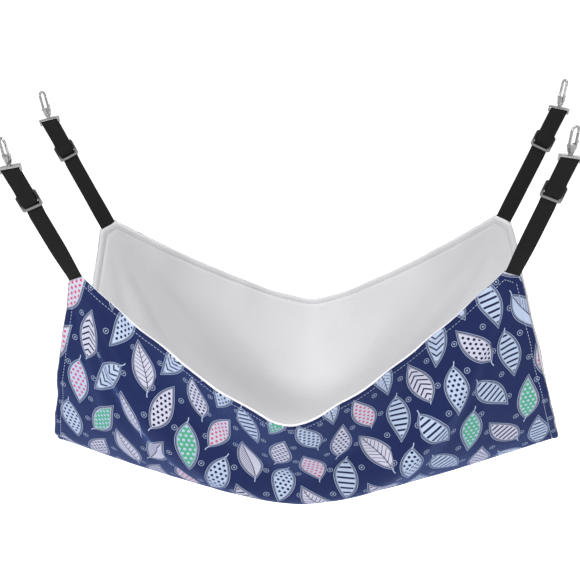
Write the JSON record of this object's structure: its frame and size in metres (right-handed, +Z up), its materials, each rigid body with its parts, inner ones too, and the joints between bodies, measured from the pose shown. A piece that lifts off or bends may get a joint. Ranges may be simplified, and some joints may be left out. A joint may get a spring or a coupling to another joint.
{
  "type": "cat hammock",
  "caption": "Rectangular two-layer cloth bed that hangs in a trough from webbing straps at its corners, each with a length slider and a swivelling snap hook.",
  "frame": {"origin": "under the middle of the bed, at the lowest point of its outer cloth", "axes": "+Z up, +X along the long side of the bed, -Y the front"},
  "size_m": [0.6034, 0.3822, 0.4456],
  "materials": {
    "outer_cloth": "printed plain weave",
    "lining_plush": "short plush",
    "webbing": "woven webbing",
    "slider_plastic": "moulded, glossy",
    "hook_metal": "nickel plated",
    "spring_steel": "spring wire"
  },
  "bodies": {
    "bed": {"outer_panel": "outer_cloth", "lining_panel": "lining_plush", "strap_tail_front_left": "webbing", "strap_tail_front_right": "webbing", "strap_tail_back_left": "webbing", "strap_tail_back_right": "webbing"},
    "strap_front_left": {"strap_run_front_left": "webbing"},
    "slider_front_left": {"slider_front_left": "slider_plastic"},
    "loop_front_left": {"strap_loop_front_left": "webbing"},
    "eye_front_left": {"eye_front_left": "hook_metal"},
    "hook_front_left": {"hook_front_left": "hook_metal", "gate_pin_front_left": "hook_metal", "gate_spring_front_left": "spring_steel"},
    "gate_front_left": {"gate_front_left": "hook_metal"},
    "strap_front_right": {"strap_run_front_right": "webbing"},
    "slider_front_right": {"slider_front_right": "slider_plastic"},
    "loop_front_right": {"strap_loop_front_right": "webbing"},
    "eye_front_right": {"eye_front_right": "hook_metal"},
    "hook_front_right": {"hook_front_right": "hook_metal", "gate_pin_front_right": "hook_metal", "gate_spring_front_right": "spring_steel"},
    "gate_front_right": {"gate_front_right": "hook_metal"},
    "strap_back_left": {"strap_run_back_left": "webbing"},
    "slider_back_left": {"slider_back_left": "slider_plastic"},
    "loop_back_left": {"strap_loop_back_left": "webbing"},
    "eye_back_left": {"eye_back_left": "hook_metal"},
    "hook_back_left": {"hook_back_left": "hook_metal", "gate_pin_back_left": "hook_metal", "gate_spring_back_left": "spring_steel"},
    "gate_back_left": {"gate_back_left": "hook_metal"},
    "strap_back_right": {"strap_run_back_right": "webbing"},
    "slider_back_right": {"slider_back_right": "slider_plastic"},
    "loop_back_right": {"strap_loop_back_right": "webbing"},
    "eye_back_right": {"eye_back_right": "hook_metal"},
    "hook_back_right": {"hook_back_right": "hook_metal", "gate_pin_back_right": "hook_metal", "gate_spring_back_right": "spring_steel"},
    "gate_back_right": {"gate_back_right": "hook_metal"}
  },
  "joints": [
    {"name": "strap_swing_front_left", "type": "hinge", "parent": "bed", "child": "strap_front_left", "pos_m": [-0.22823, -0.09434, 0.28612], "axis": [0.8739, -0.3565, 0.3306], "range_deg": [-30, 75]},
    {"name": "slider_adjust_front_left", "type": "slide", "parent": "strap_front_left", "child": "slider_front_left", "axis": [-0.3942, -0.1215, 0.911], "range_m": [-0.06, 0.036], "deforming": ["strap_run_front_left", "strap_loop_front_left"]},
    {"name": "hook_follow_front_left", "type": "slide", "parent": "slider_front_left", "child": "loop_front_left", "axis": [-0.3942, -0.1215, 0.911], "range_m": [-0.018, 0.03]},
    {"name": "hook_tilt_front_left", "type": "hinge", "parent": "loop_front_left", "child": "eye_front_left", "pos_m": [-0.28145, -0.11075, 0.4091], "axis": [0.9866, 0.0118, 0.1629], "range_deg": [-60, 60]},
    {"name": "hook_swivel_front_left", "type": "hinge", "parent": "eye_front_left", "child": "hook_front_left", "pos_m": [-0.28145, -0.11075, 0.4091], "axis": [-0.1603, -0.1223, 0.9795], "continuous": true},
    {"name": "gate_open_front_left", "type": "hinge", "parent": "hook_front_left", "child": "gate_front_left", "pos_m": [-0.2813, -0.11463, 0.42211], "axis": [-0.6878, -0.6979, -0.1997], "range_deg": [0, 28], "stiffness_Nm_per_rad": 0.004, "springref_deg": -17.19, "deforming": ["gate_spring_front_left"]},
    {"name": "strap_swing_front_right", "type": "hinge", "parent": "bed", "child": "strap_front_right", "pos_m": [0.22823, -0.09434, 0.28612], "axis": [0.8739, 0.3565, -0.3306], "range_deg": [-30, 75]},
    {"name": "slider_adjust_front_right", "type": "slide", "parent": "strap_front_right", "child": "slider_front_right", "axis": [0.3942, -0.1215, 0.911], "range_m": [-0.06, 0.036], "deforming": ["strap_run_front_right", "strap_loop_front_right"]},
    {"name": "hook_follow_front_right", "type": "slide", "parent": "slider_front_right", "child": "loop_front_right", "axis": [0.3942, -0.1215, 0.911], "range_m": [-0.018, 0.03]},
    {"name": "hook_tilt_front_right", "type": "hinge", "parent": "loop_front_right", "child": "eye_front_right", "pos_m": [0.28145, -0.11075, 0.4091], "axis": [0.9866, -0.0118, -0.1629], "range_deg": [-60, 60]},
    {"name": "hook_swivel_front_right", "type": "hinge", "parent": "eye_front_right", "child": "hook_front_right", "pos_m": [0.28145, -0.11075, 0.4091], "axis": [0.1603, -0.1223, 0.9795], "continuous": true},
    {"name": "gate_open_front_right", "type": "hinge", "parent": "hook_front_right", "child": "gate_front_right", "pos_m": [0.28583, -0.11011, 0.42194], "axis": [0.6878, -0.6979, -0.1997], "range_deg": [0, 28], "stiffness_Nm_per_rad": 0.004, "springref_deg": -17.19, "deforming": ["gate_spring_front_right"]},
    {"name": "strap_swing_back_left", "type": "hinge", "parent": "bed", "child": "strap_back_left", "pos_m": [-0.2283, 0.09434, 0.28609], "axis": [-0.8489, -0.363, -0.3841], "range_deg": [-30, 75]},
    {"name": "slider_adjust_back_left", "type": "slide", "parent": "strap_back_left", "child": "slider_back_left", "axis": [-0.4508, 0.1181, 0.8848], "range_m": [-0.06, 0.036], "deforming": ["strap_run_back_left", "strap_loop_back_left"]},
    {"name": "hook_follow_back_left", "type": "slide", "parent": "slider_back_left", "child": "loop_back_left", "axis": [-0.4508, 0.1181, 0.8848], "range_m": [-0.018, 0.03]},
    {"name": "hook_tilt_back_left", "type": "hinge", "parent": "loop_back_left", "child": "eye_back_left", "pos_m": [-0.28916, 0.11028, 0.40553], "axis": [0.9746, -0.0043, 0.2238], "range_deg": [-60, 60]},
    {"name": "hook_swivel_back_left", "type": "hinge", "parent": "eye_back_left", "child": "hook_back_left", "pos_m": [-0.28916, 0.11028, 0.40553], "axis": [-0.2216, 0.1206, 0.9676], "continuous": true},
    {"name": "gate_open_back_left", "type": "hinge", "parent": "hook_back_left", "child": "gate_back_left", "pos_m": [-0.29103, 0.11489, 0.41817], "axis": [0.9173, -0.3109, 0.2488], "range_deg": [0, 28], "stiffness_Nm_per_rad": 0.004, "springref_deg": -17.19, "deforming": ["gate_spring_back_left"]},
    {"name": "strap_swing_back_right", "type": "hinge", "parent": "bed", "child": "strap_back_right", "pos_m": [0.2283, 0.09434, 0.28609], "axis": [-0.8489, 0.363, 0.3841], "range_deg": [-30, 75]},
    {"name": "slider_adjust_back_right", "type": "slide", "parent": "strap_back_right", "child": "slider_back_right", "axis": [0.4508, 0.1181, 0.8848], "range_m": [-0.06, 0.036], "deforming": ["strap_run_back_right", "strap_loop_back_right"]},
    {"name": "hook_follow_back_right", "type": "slide", "parent": "slider_back_right", "child": "loop_back_right", "axis": [0.4508, 0.1181, 0.8848], "range_m": [-0.018, 0.03]},
    {"name": "hook_tilt_back_right", "type": "hinge", "parent": "loop_back_right", "child": "eye_back_right", "pos_m": [0.28916, 0.11028, 0.40553], "axis": [0.9746, 0.0043, -0.2238], "range_deg": [-60, 60]},
    {"name": "hook_swivel_back_right", "type": "hinge", "parent": "eye_back_right", "child": "hook_back_right", "pos_m": [0.28916, 0.11028, 0.40553], "axis": [0.2216, 0.1206, 0.9676], "continuous": true},
    {"name": "gate_open_back_right", "type": "hinge", "parent": "hook_back_right", "child": "gate_back_right", "pos_m": [0.29315, 0.10885, 0.41844], "axis": [-0.9173, -0.3109, 0.2488], "range_deg": [0, 28], "stiffness_Nm_per_rad": 0.004, "springref_deg": -17.19, "deforming": ["gate_spring_back_right"]}
  ],
  "couplings": [
    {"joint": "hook_follow_front_left", "follows": "slider_adjust_front_left", "ratio": -0.5},
    {"joint": "hook_follow_front_right", "follows": "slider_adjust_front_right", "ratio": -0.5},
    {"joint": "hook_follow_back_left", "follows": "slider_adjust_back_left", "ratio": -0.5},
    {"joint": "hook_follow_back_right", "follows": "slider_adjust_back_right", "ratio": -0.5}
  ]
}
